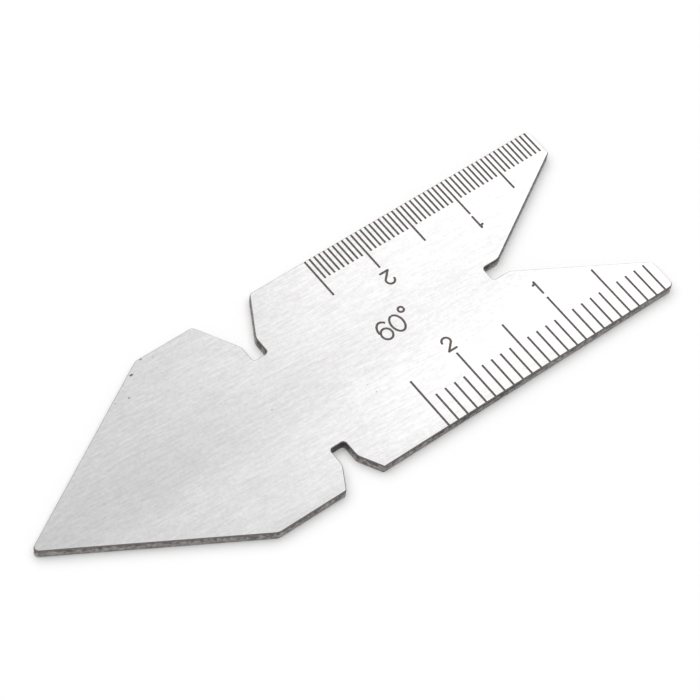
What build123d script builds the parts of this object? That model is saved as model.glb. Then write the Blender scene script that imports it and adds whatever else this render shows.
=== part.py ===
from build123d import *

import os
from math import radians, sin, tan

# Centre gauge: one flat steel plate with a point at one end, a V fork at the other end
# and a V notch in each long edge, all at the thread angle. Every V ends in a relief slot,
# so that a sharp tool tip or thread crest clears its root. A scale is engraved along each
# long edge of the upper face, and both scales count from the fork end.
#
# Lengths are in millimetres and angles in degrees. X runs from the point to the fork,
# Z is up through the marked face, and the origin is the middle of the underside.

# Form shared by the point and the three Vs
thread_angle = 60.0
relief_width = 1.5
relief_length = 1.75
relief_mouth_radius = 1.0       # where a flank runs into its slot
relief_corner_radius = 0.3      # at the closed end of a slot

# Plate
plate_length = 60.0             # fork end to the sharp point, before the tip is blunted
plate_width = 20.0
plate_thickness = 1.0
tip_radius = 0.4
shoulder_radius = 1.0
end_corner_radius = 0.5
edge_break = 0.08               # chamfer round both faces

# Fork at the end of the plate
fork_mouth = 14.15
fork_lip_radius = 0.3

# Notches in the long edges, opposite each other and midway from the last mark to the shoulder
large_notch_mouth = 6.0
large_notch_lip_radius = 0.5
small_notch_mouth = 3.95
small_notch_lip_radius = 0.2

# Scales
scale_length = 25.0
long_mark_step = 5.0
mark_width = 0.2
mark_depth = 0.05
half_mm_division = 0.5
half_mm_short_mark = 2.4
half_mm_long_mark = 4.2
mm_division = 1.0
mm_short_mark = 3.1
mm_long_mark = 5.3

# Worked out from the sizes above
half_angle = radians(thread_angle / 2)
half_width = plate_width / 2
blunting = tip_radius * (1 / sin(half_angle) - 1)
fork_end_x = (plate_length - blunting) / 2
point_x = fork_end_x - plate_length
shoulder_x = point_x + half_width / tan(half_angle)
last_mark_x = fork_end_x - scale_length
notch_x = (last_mark_x + shoulder_x) / 2


def v_corners(mouth, lip_radius, place):
    """Corners, each with its radius, of a V whose mouth is centred on place and which
    narrows along place's -Y into its relief slot."""
    slot = relief_width / 2
    flank_depth = (mouth / 2 - slot) / tan(half_angle)
    near_side = [
        ((-mouth / 2, 0), lip_radius),
        ((-slot, -flank_depth), relief_mouth_radius),
        ((-slot, -flank_depth - relief_length), relief_corner_radius),
    ]
    far_side = [((-x, y), radius) for (x, y), radius in reversed(near_side)]
    return [((place * Pos(x, y)).position, radius) for (x, y), radius in near_side + far_side]


def outline():
    """The plate seen from above, clockwise from the point."""
    fork = v_corners(fork_mouth, fork_lip_radius, Pos(fork_end_x, 0) * Rot(Z=-90))
    large_notch = v_corners(large_notch_mouth, large_notch_lip_radius,
                            Pos(notch_x, half_width))
    small_notch = v_corners(small_notch_mouth, small_notch_lip_radius,
                            Pos(notch_x, -half_width) * Rot(Z=180))
    corners = [
        ((point_x, 0), tip_radius),
        ((shoulder_x, half_width), shoulder_radius),
        *large_notch,
        ((fork_end_x, half_width), end_corner_radius),
        *fork,
        ((fork_end_x, -half_width), end_corner_radius),
        *small_notch,
        ((shoulder_x, -half_width), shoulder_radius),
    ]
    points, radii = zip(*corners)
    return make_face(FilletPolyline(*points, radius=radii, close=True))


def blank():
    """The cut plate with its sharp edges taken off."""
    plate = extrude(outline(), amount=plate_thickness)
    upper_edges = plate.faces().sort_by(Axis.Z)[-1].edges()
    lower_edges = plate.faces().sort_by(Axis.Z)[0].edges()
    return chamfer(upper_edges + lower_edges, edge_break)


def scale_marks(edge_y, division, short_mark, long_mark):
    """Lines square to the edge at edge_y, counted from the fork end, with no line at zero.
    Each is centred on the edge, so one half lies on the plate and the other runs clear of it."""
    divisions_per_long = round(long_mark_step / division)
    marks = Sketch()
    for count in range(1, round(scale_length / division) + 1):
        reach = short_mark if count % divisions_per_long else long_mark
        marks += Pos(fork_end_x - count * division, edge_y) * Rectangle(mark_width, 2 * reach)
    return marks


def gauge_plate():
    """The finished gauge: the blank with both scales cut into its upper face."""
    marks = scale_marks(half_width, half_mm_division, half_mm_short_mark, half_mm_long_mark)
    marks += scale_marks(-half_width, mm_division, mm_short_mark, mm_long_mark)
    floor = Pos(Z=plate_thickness - mark_depth)
    return blank() - extrude(floor * marks, amount=2 * mark_depth)


os.makedirs("parts", exist_ok=True)
export_step(gauge_plate(), "parts/gauge_plate.step")
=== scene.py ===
import bpy
import bmesh
import math
from mathutils import Euler, Matrix, Vector


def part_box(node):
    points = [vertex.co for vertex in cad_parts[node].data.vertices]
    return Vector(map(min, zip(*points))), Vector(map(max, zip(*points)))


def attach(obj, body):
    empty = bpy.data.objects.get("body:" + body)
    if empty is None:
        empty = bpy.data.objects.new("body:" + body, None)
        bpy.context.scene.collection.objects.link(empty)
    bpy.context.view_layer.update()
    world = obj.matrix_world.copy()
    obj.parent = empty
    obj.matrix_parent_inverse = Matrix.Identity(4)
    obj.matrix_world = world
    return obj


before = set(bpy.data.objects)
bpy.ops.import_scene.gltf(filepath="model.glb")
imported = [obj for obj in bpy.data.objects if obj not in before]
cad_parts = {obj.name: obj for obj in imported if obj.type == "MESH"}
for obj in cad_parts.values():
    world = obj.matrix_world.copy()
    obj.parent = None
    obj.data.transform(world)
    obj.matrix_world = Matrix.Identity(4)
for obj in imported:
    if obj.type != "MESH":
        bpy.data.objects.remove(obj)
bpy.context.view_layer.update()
plateLow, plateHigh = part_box("gauge_plate")
topFace = plateHigh.z
forkEnd = plateHigh.x  # both scales count from here, towards -X
mm = 0.001
white = (1, 1, 1, 1)
print("frame loaded, plate is", [round(s / mm, 2) for s in plateHigh - plateLow], "mm")

# camera

cameraSet = {
    "place": (-0.09194, -0.0934, 0.20475),
    "turn": (32.879, -4.836, -37.706),  # degrees about x, y, z
    "lens": 149.1,
    "sensor": 36.0,
    "nearest": 0.01,
    "farthest": 20.0,
}


def addCamera():
    data = bpy.data.cameras.new("camera")
    data.sensor_width = cameraSet["sensor"]
    data.lens = cameraSet["lens"]
    data.clip_start = cameraSet["nearest"]
    data.clip_end = cameraSet["farthest"]
    camera = bpy.data.objects.new("camera", data)
    camera.location = cameraSet["place"]
    camera.rotation_euler = Euler([math.radians(a) for a in cameraSet["turn"]])
    bpy.context.scene.collection.objects.link(camera)
    bpy.context.scene.camera = camera


addCamera()
print("camera set")

# node helpers

nodeGap = 180  # between nodes in the editor


def addNode(tree, kind, inputs=None, **settings):
    node = tree.nodes.new(kind)
    node.location = (nodeGap * len(tree.nodes), 0)
    for name, value in settings.items():
        setattr(node, name, value)
    for name, value in (inputs or {}).items():
        if isinstance(value, bpy.types.NodeSocket):
            tree.links.new(value, node.inputs[name])
        else:
            node.inputs[name].default_value = value
    return node


def calc(tree, operation, *values):
    return addNode(tree, "ShaderNodeMath", dict(enumerate(values)), operation=operation).outputs[0]


def vectorCalc(tree, operation, *values):
    return addNode(tree, "ShaderNodeVectorMath", dict(enumerate(values)), operation=operation).outputs


def mixColor(tree, factor, first, second, blend="MIX"):
    inputs = {0: factor, 6: first, 7: second}
    return addNode(tree, "ShaderNodeMix", inputs, data_type="RGBA", blend_type=blend).outputs[2]


def mixValue(tree, factor, first, second):
    return addNode(tree, "ShaderNodeMix", {0: factor, 2: first, 3: second}, data_type="FLOAT").outputs[0]


def spread(tree, value, fromLow, fromHigh, toLow=0.0, toHigh=1.0, smooth=False):
    inputs = {0: value, 1: fromLow, 2: fromHigh, 3: toLow, 4: toHigh}
    kind = "SMOOTHSTEP" if smooth else "LINEAR"
    return addNode(tree, "ShaderNodeMapRange", inputs, interpolation_type=kind).outputs[0]


def addNoise(tree, vector, scale, detail):
    inputs = {"Vector": vector, "Scale": scale, "Detail": detail}
    return addNode(tree, "ShaderNodeTexNoise", inputs).outputs[0]


def newGroup(name, inputs, outputs):
    tree = bpy.data.node_groups.new(name, "ShaderNodeTree")
    for socketName, kind in inputs.items():
        tree.interface.new_socket(socketName, in_out="INPUT", socket_type="NodeSocket" + kind)
    for socketName, kind in outputs.items():
        tree.interface.new_socket(socketName, in_out="OUTPUT", socket_type="NodeSocket" + kind)
    return tree, addNode(tree, "NodeGroupInput").outputs, addNode(tree, "NodeGroupOutput").inputs


def useGroup(tree, group, inputs):
    return addNode(tree, "ShaderNodeGroup", inputs, node_tree=group).outputs


def newMaterial(name, roughness, specular):
    material = bpy.data.materials.new(name)
    material.use_nodes = True
    tree = material.node_tree
    shader = tree.nodes["Principled BSDF"]
    shader.inputs["Roughness"].default_value = roughness
    shader.inputs["Specular IOR Level"].default_value = specular
    return material, tree, shader.inputs


# shared effects

grainSet = {
    "broad": (0.45, 0.5, 0.5),  # size of the broad scratches' pattern against the fine one's
    "broadDetail": 2.0,
    "fineDetail": 3.0,
    "fineShare": 0.8,
    "contrast": (0.3, 0.7),
}

mottleSet = {
    "detail": 4.0,
    "soft": (0.3, 0.7),  # how the patches fade, as the low and high ends of their noise
    "crisp": (0.34, 0.66),
}


def makeGrain():
    tree, given, result = newGroup(
        "brushedGrain",
        {"Vector": "Vector", "Along": "Float", "Across": "Float", "Turn": "Float"},
        {"Streaks": "Float"},
    )
    turn = {"Vector": given["Vector"], "Angle": given["Turn"]}
    turned = addNode(tree, "ShaderNodeVectorRotate", turn, rotation_type="Z_AXIS").outputs[0]
    scale = {0: given["Along"], 1: given["Across"], 2: given["Across"]}
    scale = addNode(tree, "ShaderNodeCombineXYZ", scale).outputs[0]
    fine = vectorCalc(tree, "MULTIPLY", turned, scale)["Vector"]
    broad = vectorCalc(tree, "MULTIPLY", fine, grainSet["broad"])["Vector"]
    fineScratches = addNoise(tree, fine, 1.0, grainSet["fineDetail"])
    broadScratches = addNoise(tree, broad, 1.0, grainSet["broadDetail"])
    both = mixValue(tree, grainSet["fineShare"], broadScratches, fineScratches)
    tree.links.new(spread(tree, both, *grainSet["contrast"]), result["Streaks"])
    return tree


def makeMottle():
    tree, given, result = newGroup(
        "mottle",
        {"Vector": "Vector", "Size": "Float", "Low": "Float", "High": "Float"},
        {"Mask": "Float"},
    )
    patches = addNoise(tree, given["Vector"], calc(tree, "DIVIDE", 1.0, given["Size"]), mottleSet["detail"])
    tree.links.new(spread(tree, patches, given["Low"], given["High"]), result["Mask"])
    return tree


grainGroup = makeGrain()
mottleGroup = makeMottle()


def mottled(tree, vector, size, fade):
    low, high = mottleSet[fade]
    inputs = {"Vector": vector, "Size": size, "Low": low, "High": high}
    return useGroup(tree, mottleGroup, inputs)["Mask"]


# laser burnt marks, on the scales and the numerals

markSet = {
    "dark": (0.075, 0.062, 0.058, 1),
    "light": (0.135, 0.115, 0.108, 1),
    "patch": 0.25 * mm,
    "roughness": 0.6,
    "specular": 0.3,
}


def markColor(tree, vector):
    patches = mottled(tree, vector, markSet["patch"], "soft")
    return mixColor(tree, patches, markSet["dark"], markSet["light"])


# plate

plateSet = {
    # faces
    "faceDark": (0.563, 0.555, 0.559, 1),
    "faceLight": (0.658, 0.650, 0.654, 1),
    "faceRoughness": 0.20,
    "roughnessSwing": 0.006,
    "specular": 0.4,
    "grainAlong": 850.0,  # per metre
    "grainAcross": 6500.0,
    "grainTurn": 3.5,  # degrees off the length
    "grainHeight": 0.0005 * mm,
    "cloud": 3.5 * mm,  # faint broad patches
    "cloudShade": 0.96,
    "fleck": 0.3 * mm,  # and fine ones
    "fleckShade": 0.91,
    "paintedSheenLow": 0.085,  # painted sheen: how much paler the -Y side is painted, and between which places across
    "paintedSheenLowIn": (-1.0 * mm, -4.5 * mm),
    "paintedSheenLowOut": (-8.2 * mm, -10.5 * mm),
    "paintedSheenHigh": 0.05,  # and the +Y side, painted paler the same way
    "paintedSheenHighIn": (0.5 * mm, 4.5 * mm),
    "specks": [  # from the fork end, across, half length, half width, all in mm, and strength
        (43.78, 9.01, 0.19, 0.10, 1.0),
        (45.22, 7.30, 0.10, 0.08, 0.8),
        (42.24, 9.84, 0.14, 0.07, 0.8),
        (46.48, 7.50, 0.12, 0.08, 0.3),
        (44.94, 8.54, 0.08, 0.06, 0.35),
        (41.26, 9.43, 0.14, 0.07, 0.25),
        (41.66, 8.41, 0.08, 0.06, 0.25),
        (36.20, -0.35, 0.08, 0.06, 0.6),
        (27.95, -3.89, 0.08, 0.06, 0.5),
        (28.15, -2.92, 0.06, 0.05, 0.35),
    ],
    "speckHeight": 0.5 * mm,  # half height, which keeps them off the underside
    "speckFade": (1.3, 0.6),  # from none to full, as shares of the half size
    "speckColor": (0.16, 0.14, 0.13, 1),
    # walls, burnt and mottled; paler towards the lower edge, which is painted bounce light from the floor
    "wallDark": (0.082, 0.072, 0.069, 1),
    "wallLight": (0.48, 0.453, 0.44, 1),
    "wallRoughness": 0.62,
    "wallPatch": 0.35 * mm,
    "patchUpper": 0.25,  # how much the patches lighten the wall near its upper edge
    "patchLower": 0.55,  # and near its lower one
    # painted bounce light from the floor: how much paler the wall is painted towards its lower edge
    "paintedFloorBounce": 0.22,
    "wallBand": (0.15, 0.55),  # share of the thickness over which the dark upper band fades
    "wallRagged": 0.25,  # how far the patches move that band, up or down
    "wallPit": 0.02 * mm,
    "burnAndShadePlaces": [  # darkened places, from the fork end, across, full and clear radius, all in mm, how black above and below; in the slots this is painted shade, on the long edge burn
        (12.0, 0.4, 0.75, 1.55, 0.95, 0.05),  # painted shade in the fork's slot
        (33.3, 5.0, 0.75, 1.55, 0.6, 0.1),  # painted shade in the larger notch's slot
        (33.75, -6.15, 0.75, 1.55, 0.95, 0.75),  # painted shade in the smaller notch's slot
        (22.5, -10.0, 4.0, 8.0, 0.8, 0.15),  # a stretch of the long edge under the scale
    ],
    # colour of the painted shade in the slots and of the burn on the long edge
    "burnAndShadeColor": (0.03, 0.026, 0.026, 1),
    # broken edges between face and wall, dark, with those facing the far way painted paler as a painted
    # reflection
    "rim": (0.15, 0.138, 0.134, 1),
    "rimFarPaintedReflection": (0.42, 0.405, 0.395, 1),
    "paintedReflectionWay": (0.6, 0.8, 0.0),  # painted reflection: the far edges look this way and are painted paler
    "paintedReflectionTurn": (-0.15, 0.3),  # from near to far, by how much an edge looks that way
    # where each finish lies
    "rimLevel": 0.7,  # how level the broken edges are, where 0 is a wall and 1 a face
    "rimWithin": 0.15,
    "wallLevel": 0.5,  # walls are less level than this
    "markFloorLow": 0.06 * mm,  # below the face, the band that holds the floors of the scale marks
    "markFloorHigh": 0.02 * mm,
}


def brushed(tree, vector):
    inputs = {
        "Vector": vector,
        "Along": plateSet["grainAlong"],
        "Across": plateSet["grainAcross"],
        "Turn": math.radians(plateSet["grainTurn"]),
    }
    return useGroup(tree, grainGroup, inputs)["Streaks"]


# painted sheen: the faces are painted paler towards both long sides, standing in for reflected light
def paintedSheenSides(tree, across):
    low = spread(tree, across, *plateSet["paintedSheenLowIn"], 1.0, 1.0 + plateSet["paintedSheenLow"], smooth=True)
    low = mixValue(tree, spread(tree, across, *plateSet["paintedSheenLowOut"], smooth=True), low, 1.0)
    high = spread(tree, across, *plateSet["paintedSheenHighIn"], 1.0, 1.0 + plateSet["paintedSheenHigh"], smooth=True)
    return calc(tree, "MULTIPLY", low, high)


def speckMask(tree, vector):
    mask = 0.0
    for fromFork, across, halfLength, halfWidth, strength in plateSet["specks"]:
        centre = (forkEnd - fromFork * mm, across * mm, topFace)
        scale = (1 / (halfLength * mm), 1 / (halfWidth * mm), 1 / plateSet["speckHeight"])
        offset = vectorCalc(tree, "SUBTRACT", vector, centre)["Vector"]
        offset = vectorCalc(tree, "MULTIPLY", offset, scale)["Vector"]
        distance = vectorCalc(tree, "LENGTH", offset)["Value"]
        spot = spread(tree, distance, *plateSet["speckFade"], 0.0, strength, smooth=True)
        mask = calc(tree, "MAXIMUM", spot, mask)
    return mask


def faceColor(tree, vector, across, streaks):
    color = mixColor(tree, streaks, plateSet["faceDark"], plateSet["faceLight"])
    clouds = mixValue(tree, mottled(tree, vector, plateSet["cloud"], "soft"), plateSet["cloudShade"], 1.0)
    flecks = mixValue(tree, mottled(tree, vector, plateSet["fleck"], "soft"), plateSet["fleckShade"], 1.0)
    # the tone includes the painted sheen of the long sides
    tone = calc(tree, "MULTIPLY", calc(tree, "MULTIPLY", clouds, flecks), paintedSheenSides(tree, across))
    color = mixColor(tree, 1.0, color, tone, "MULTIPLY")
    return mixColor(tree, speckMask(tree, vector), color, plateSet["speckColor"])


# painted shade in the slots, and burn on a stretch of the long edge
def burnAndShadeMask(tree, vector, lower):
    mask = 0.0
    for fromFork, across, full, clear, top, bottom in plateSet["burnAndShadePlaces"]:
        centre = (forkEnd - fromFork * mm, across * mm, topFace)
        distance = vectorCalc(tree, "DISTANCE", vector, centre)["Value"]
        near = spread(tree, distance, clear * mm, full * mm, smooth=True)
        black = calc(tree, "MULTIPLY", near, mixValue(tree, lower, top, bottom))
        mask = calc(tree, "MAXIMUM", black, mask)
    return mask


def wallColor(tree, vector, height, patches):
    depth = spread(tree, height, plateHigh.z, plateLow.z)
    moved = spread(tree, patches, 0.0, 1.0, -plateSet["wallRagged"], plateSet["wallRagged"])
    lower = spread(tree, calc(tree, "ADD", depth, moved), *plateSet["wallBand"], smooth=True)
    patchShare = mixValue(tree, lower, plateSet["patchUpper"], plateSet["patchLower"])
    # painted bounce light from the floor, lightening the wall towards its lower edge
    paintedFloorBounce = calc(tree, "MULTIPLY", lower, plateSet["paintedFloorBounce"])
    tone = calc(tree, "MULTIPLY_ADD", patches, patchShare, paintedFloorBounce)
    color = mixColor(tree, tone, plateSet["wallDark"], plateSet["wallLight"])
    return mixColor(tree, burnAndShadeMask(tree, vector, lower), color, plateSet["burnAndShadeColor"])


def rimAndPaintedReflection(tree, normal):
    # painted reflection: edges facing the far way are painted paler than the near ones
    away = vectorCalc(tree, "DOT_PRODUCT", normal, plateSet["paintedReflectionWay"])["Value"]
    away = spread(tree, away, *plateSet["paintedReflectionTurn"])
    return mixColor(tree, away, plateSet["rim"], plateSet["rimFarPaintedReflection"])


def plateMasks(tree, height, normal):
    level = calc(tree, "ABSOLUTE", addNode(tree, "ShaderNodeSeparateXYZ", {0: normal}).outputs["Z"])
    belowMarks = calc(tree, "LESS_THAN", height, topFace - plateSet["markFloorLow"])
    rim = calc(tree, "COMPARE", level, plateSet["rimLevel"], plateSet["rimWithin"])
    wall = calc(tree, "MULTIPLY", calc(tree, "LESS_THAN", level, plateSet["wallLevel"]), belowMarks)
    wall = calc(tree, "MAXIMUM", wall, rim)
    mark = calc(tree, "LESS_THAN", height, topFace - plateSet["markFloorHigh"])
    mark = calc(tree, "MULTIPLY", mark, calc(tree, "SUBTRACT", 1.0, belowMarks))
    mark = calc(tree, "MULTIPLY", mark, calc(tree, "SUBTRACT", 1.0, rim))
    bare = calc(tree, "SUBTRACT", calc(tree, "SUBTRACT", 1.0, wall), mark)
    return rim, wall, mark, bare


def makePlateMaterial():
    material, tree, shader = newMaterial("brushedSteelPlate", plateSet["faceRoughness"], plateSet["specular"])
    where = addNode(tree, "ShaderNodeTexCoord").outputs
    vector = where["Object"]
    place = addNode(tree, "ShaderNodeSeparateXYZ", {0: vector}).outputs
    rim, wall, mark, bare = plateMasks(tree, place["Z"], where["Normal"])
    streaks = brushed(tree, vector)
    patches = mottled(tree, vector, plateSet["wallPatch"], "crisp")

    edges = mixColor(tree, rim, wallColor(tree, vector, place["Z"], patches), rimAndPaintedReflection(tree, where["Normal"]))
    color = mixColor(tree, wall, faceColor(tree, vector, place["Y"], streaks), edges)
    color = mixColor(tree, mark, color, markColor(tree, vector))
    tree.links.new(color, shader["Base Color"])
    tree.links.new(bare, shader["Metallic"])

    dull = plateSet["faceRoughness"] + plateSet["roughnessSwing"]
    shiny = plateSet["faceRoughness"] - plateSet["roughnessSwing"]
    rough = mixValue(tree, wall, mixValue(tree, streaks, dull, shiny), plateSet["wallRoughness"])
    rough = mixValue(tree, mark, rough, markSet["roughness"])
    tree.links.new(rough, shader["Roughness"])

    scratches = calc(tree, "MULTIPLY", calc(tree, "MULTIPLY", streaks, plateSet["grainHeight"]), bare)
    pits = calc(tree, "MULTIPLY", calc(tree, "MULTIPLY", patches, plateSet["wallPit"]), wall)
    relief = {"Height": calc(tree, "ADD", scratches, pits), "Distance": 1.0, "Strength": 1.0}
    tree.links.new(addNode(tree, "ShaderNodeBump", relief).outputs[0], shader["Normal"])
    return material


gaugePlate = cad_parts["gauge_plate"]
gaugePlate.material_slots[0].material = makePlateMaterial()
print("plate finished")

# numerals

numeralSet = {
    "stroke": 0.21 * mm,
    "rise": 0.004 * mm,  # above the face
    "turnSteps": 48,  # points round a full turn
    "endSteps": 4,  # and round a stroke's end
    "endRadius": 0.02,  # the share of a stroke's radius left at its tip
    "sides": 3,
    "merge": 0.0005 * mm,
}


def arc(centreX, centreY, radiusX, radiusY, start, end):
    count = max(2, round(abs(end - start) / 360 * numeralSet["turnSteps"]))
    turns = [math.radians(start + (end - start) * i / count) for i in range(count + 1)]
    return [(centreX + radiusX * math.cos(t), centreY + radiusY * math.sin(t)) for t in turns]


# strokes in mm, each figure standing on y = 0 and centred on x = 0
figureOne = [
    [(0.0, 0.0), (0.0, 1.33)],
    arc(-0.34, 1.39, 0.34, 0.33, -10, -80),
]
figureTwo = [
    arc(0.0, 0.93, 0.41, 0.40, 175, -30) + [(-0.42, 0.0)],
    [(-0.42, 0.0), (0.40, 0.0)],
]
angleSixty = [
    arc(-1.25, 0.56, 0.52, 0.56, 0, 360),
    arc(-1.17, 0.93, 0.62, 0.88, 180, 48),
    arc(0.15, 0.92, 0.58, 0.86, 101, 443),
    arc(1.25, 1.85, 0.26, 0.26, 25, 350),
]

numeralPlaces = {  # name: strokes, from the fork end, across, turn
    "numeral_1_upper": (figureOne, 10.03, 5.47, 180),
    "numeral_2_upper": (figureTwo, 20.03, 5.25, 180),
    "numeral_1_lower": (figureOne, 10.0, -4.2, 0),
    "numeral_2_lower": (figureTwo, 20.03, -4.27, 0),
    "angle_60": (angleSixty, 22.43, -0.43, 0),
}


def roundEnded(points):
    radius = numeralSet["stroke"] / 2 / mm
    points = [Vector(p) for p in points]
    path = [(p, 1.0) for p in points]
    for tip, behind, front in ((points[0], points[1], True), (points[-1], points[-2], False)):
        outward = (tip - behind).normalized() * radius
        steps = range(1, numeralSet["endSteps"] + 1)
        turns = [math.radians(90 * i / numeralSet["endSteps"]) for i in steps]
        cap = [(tip + outward * math.sin(t), max(math.cos(t), numeralSet["endRadius"])) for t in turns]
        path = cap[::-1] + path if front else path + cap
    return path


def makeNumeral(name, strokes, fromFork, across, turn, material):
    data = bpy.data.curves.new(name, "CURVE")
    data.dimensions = "3D"
    data.bevel_depth = numeralSet["stroke"] / 2 / mm
    data.bevel_resolution = numeralSet["sides"]
    data.use_fill_caps = True
    for stroke in strokes:
        path = roundEnded(stroke)
        spline = data.splines.new("POLY")
        spline.points.add(len(path) - 1)
        for point, (place, radius) in zip(spline.points, path):
            point.co = (place.x, place.y, 0.0, 1.0)
            point.radius = radius
    curve = bpy.data.objects.new(name + "_line", data)
    bpy.context.scene.collection.objects.link(curve)
    bpy.context.view_layer.update()
    mesh = bpy.data.meshes.new_from_object(curve.evaluated_get(bpy.context.evaluated_depsgraph_get()))
    bpy.data.objects.remove(curve)
    flatten = Matrix.Diagonal((mm, mm, 2 * numeralSet["rise"] / numeralSet["stroke"] * mm, 1))
    place = Matrix.Translation((forkEnd - fromFork * mm, across * mm, topFace))
    mesh.transform(place @ Matrix.Rotation(math.radians(turn), 4, "Z") @ flatten)
    shape = bmesh.new()
    shape.from_mesh(mesh)
    bmesh.ops.remove_doubles(shape, verts=shape.verts, dist=numeralSet["merge"])
    bmesh.ops.recalc_face_normals(shape, faces=shape.faces)
    shape.to_mesh(mesh)
    shape.free()
    mesh.name = name
    mesh.materials.clear()
    mesh.materials.append(material)
    piece = bpy.data.objects.new(name, mesh)
    bpy.context.scene.collection.objects.link(piece)
    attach(piece, "root")


def makeMarkMaterial():
    material, tree, shader = newMaterial("burntMark", markSet["roughness"], markSet["specular"])
    vector = addNode(tree, "ShaderNodeTexCoord").outputs["Object"]
    tree.links.new(markColor(tree, vector), shader["Base Color"])
    return material


burntMark = makeMarkMaterial()
for name, (strokes, fromFork, across, turn) in numeralPlaces.items():
    makeNumeral(name, strokes, fromFork, across, turn, burntMark)
print("numerals placed:", len(numeralPlaces))

# floor

floorSet = {
    "half": 4.0,
    "color": (0.9, 0.9, 0.9, 1),
    "roughness": 0.9,
    "specular": 0.0,
    "glow": 0.045,  # seen by the camera and in reflections only
}


def makeFloor():
    shape = bmesh.new()
    bmesh.ops.create_grid(shape, x_segments=1, y_segments=1, size=floorSet["half"])
    mesh = bpy.data.meshes.new("floor")
    shape.to_mesh(mesh)
    shape.free()
    mesh.transform(Matrix.Translation((0, 0, plateLow.z)))
    floor = bpy.data.objects.new("floor", mesh)
    bpy.context.scene.collection.objects.link(floor)
    material, tree, shader = newMaterial("paleFloor", floorSet["roughness"], floorSet["specular"])
    shader["Base Color"].default_value = floorSet["color"]
    shader["Emission Color"].default_value = white
    rays = addNode(tree, "ShaderNodeLightPath").outputs
    seen = calc(tree, "MAXIMUM", rays["Is Camera Ray"], rays["Is Glossy Ray"])
    seen = calc(tree, "MAXIMUM", seen, rays["Is Transmission Ray"])
    tree.links.new(calc(tree, "MULTIPLY", seen, floorSet["glow"]), shader["Emission Strength"])
    mesh.materials.append(material)


makeFloor()
print("floor laid")

# light

lightSet = {
    "ambient": 0.36,
    "seen": 1.0,
    "sheen": 0.91,  # brighter part of the surroundings that the faces mirror at the fork end
    "sheenFrom": (30.0, 48.0),  # azimuth from +X and elevation, degrees
    "sheenNear": 13.2,  # degrees off its middle
    "sheenFar": 14.7,
    "keyStrength": 2.3,
    "keyFrom": (90.0, 77.0),
    "keySpread": 90.0,
}


def direction(azimuth, elevation):
    a = math.radians(azimuth)
    e = math.radians(elevation)
    return Vector((math.cos(a) * math.cos(e), math.sin(a) * math.cos(e), math.sin(e)))


def makeWorld():
    world = bpy.data.worlds.new("studio")
    bpy.context.scene.world = world
    world.use_nodes = True
    tree = world.node_tree
    background = tree.nodes["Background"].inputs
    rays = addNode(tree, "ShaderNodeLightPath").outputs
    way = addNode(tree, "ShaderNodeTexCoord").outputs["Generated"]
    toSheen = tuple(direction(*lightSet["sheenFrom"]))
    turned = vectorCalc(tree, "DOT_PRODUCT", way, toSheen)["Value"]
    far = math.cos(math.radians(lightSet["sheenFar"]))
    near = math.cos(math.radians(lightSet["sheenNear"]))
    patch = spread(tree, turned, far, near, smooth=True)
    mirrored = calc(tree, "MULTIPLY_ADD", patch, lightSet["sheen"], lightSet["seen"])
    bounced = calc(tree, "MAXIMUM", rays["Is Glossy Ray"], rays["Is Transmission Ray"])
    mirrored = calc(tree, "MULTIPLY", mirrored, bounced)
    strength = mixValue(tree, rays["Is Camera Ray"], lightSet["ambient"], lightSet["seen"])
    tree.links.new(calc(tree, "MAXIMUM", strength, mirrored), background["Strength"])
    background["Color"].default_value = white
    world.cycles.sampling_method = "NONE"  # so that each kind of ray meets just its own strength


def makeKey():
    data = bpy.data.lights.new("keySoftbox", "SUN")
    data.energy = lightSet["keyStrength"]
    data.angle = math.radians(lightSet["keySpread"])
    key = bpy.data.objects.new("keySoftbox", data)
    toLight = direction(*lightSet["keyFrom"])
    key.location = toLight
    key.rotation_euler = toLight.to_track_quat("Z", "Y").to_euler()
    key.visible_glossy = False
    bpy.context.scene.collection.objects.link(key)


makeWorld()
makeKey()
bpy.context.scene.view_settings.view_transform = "Standard"
print("lights set")
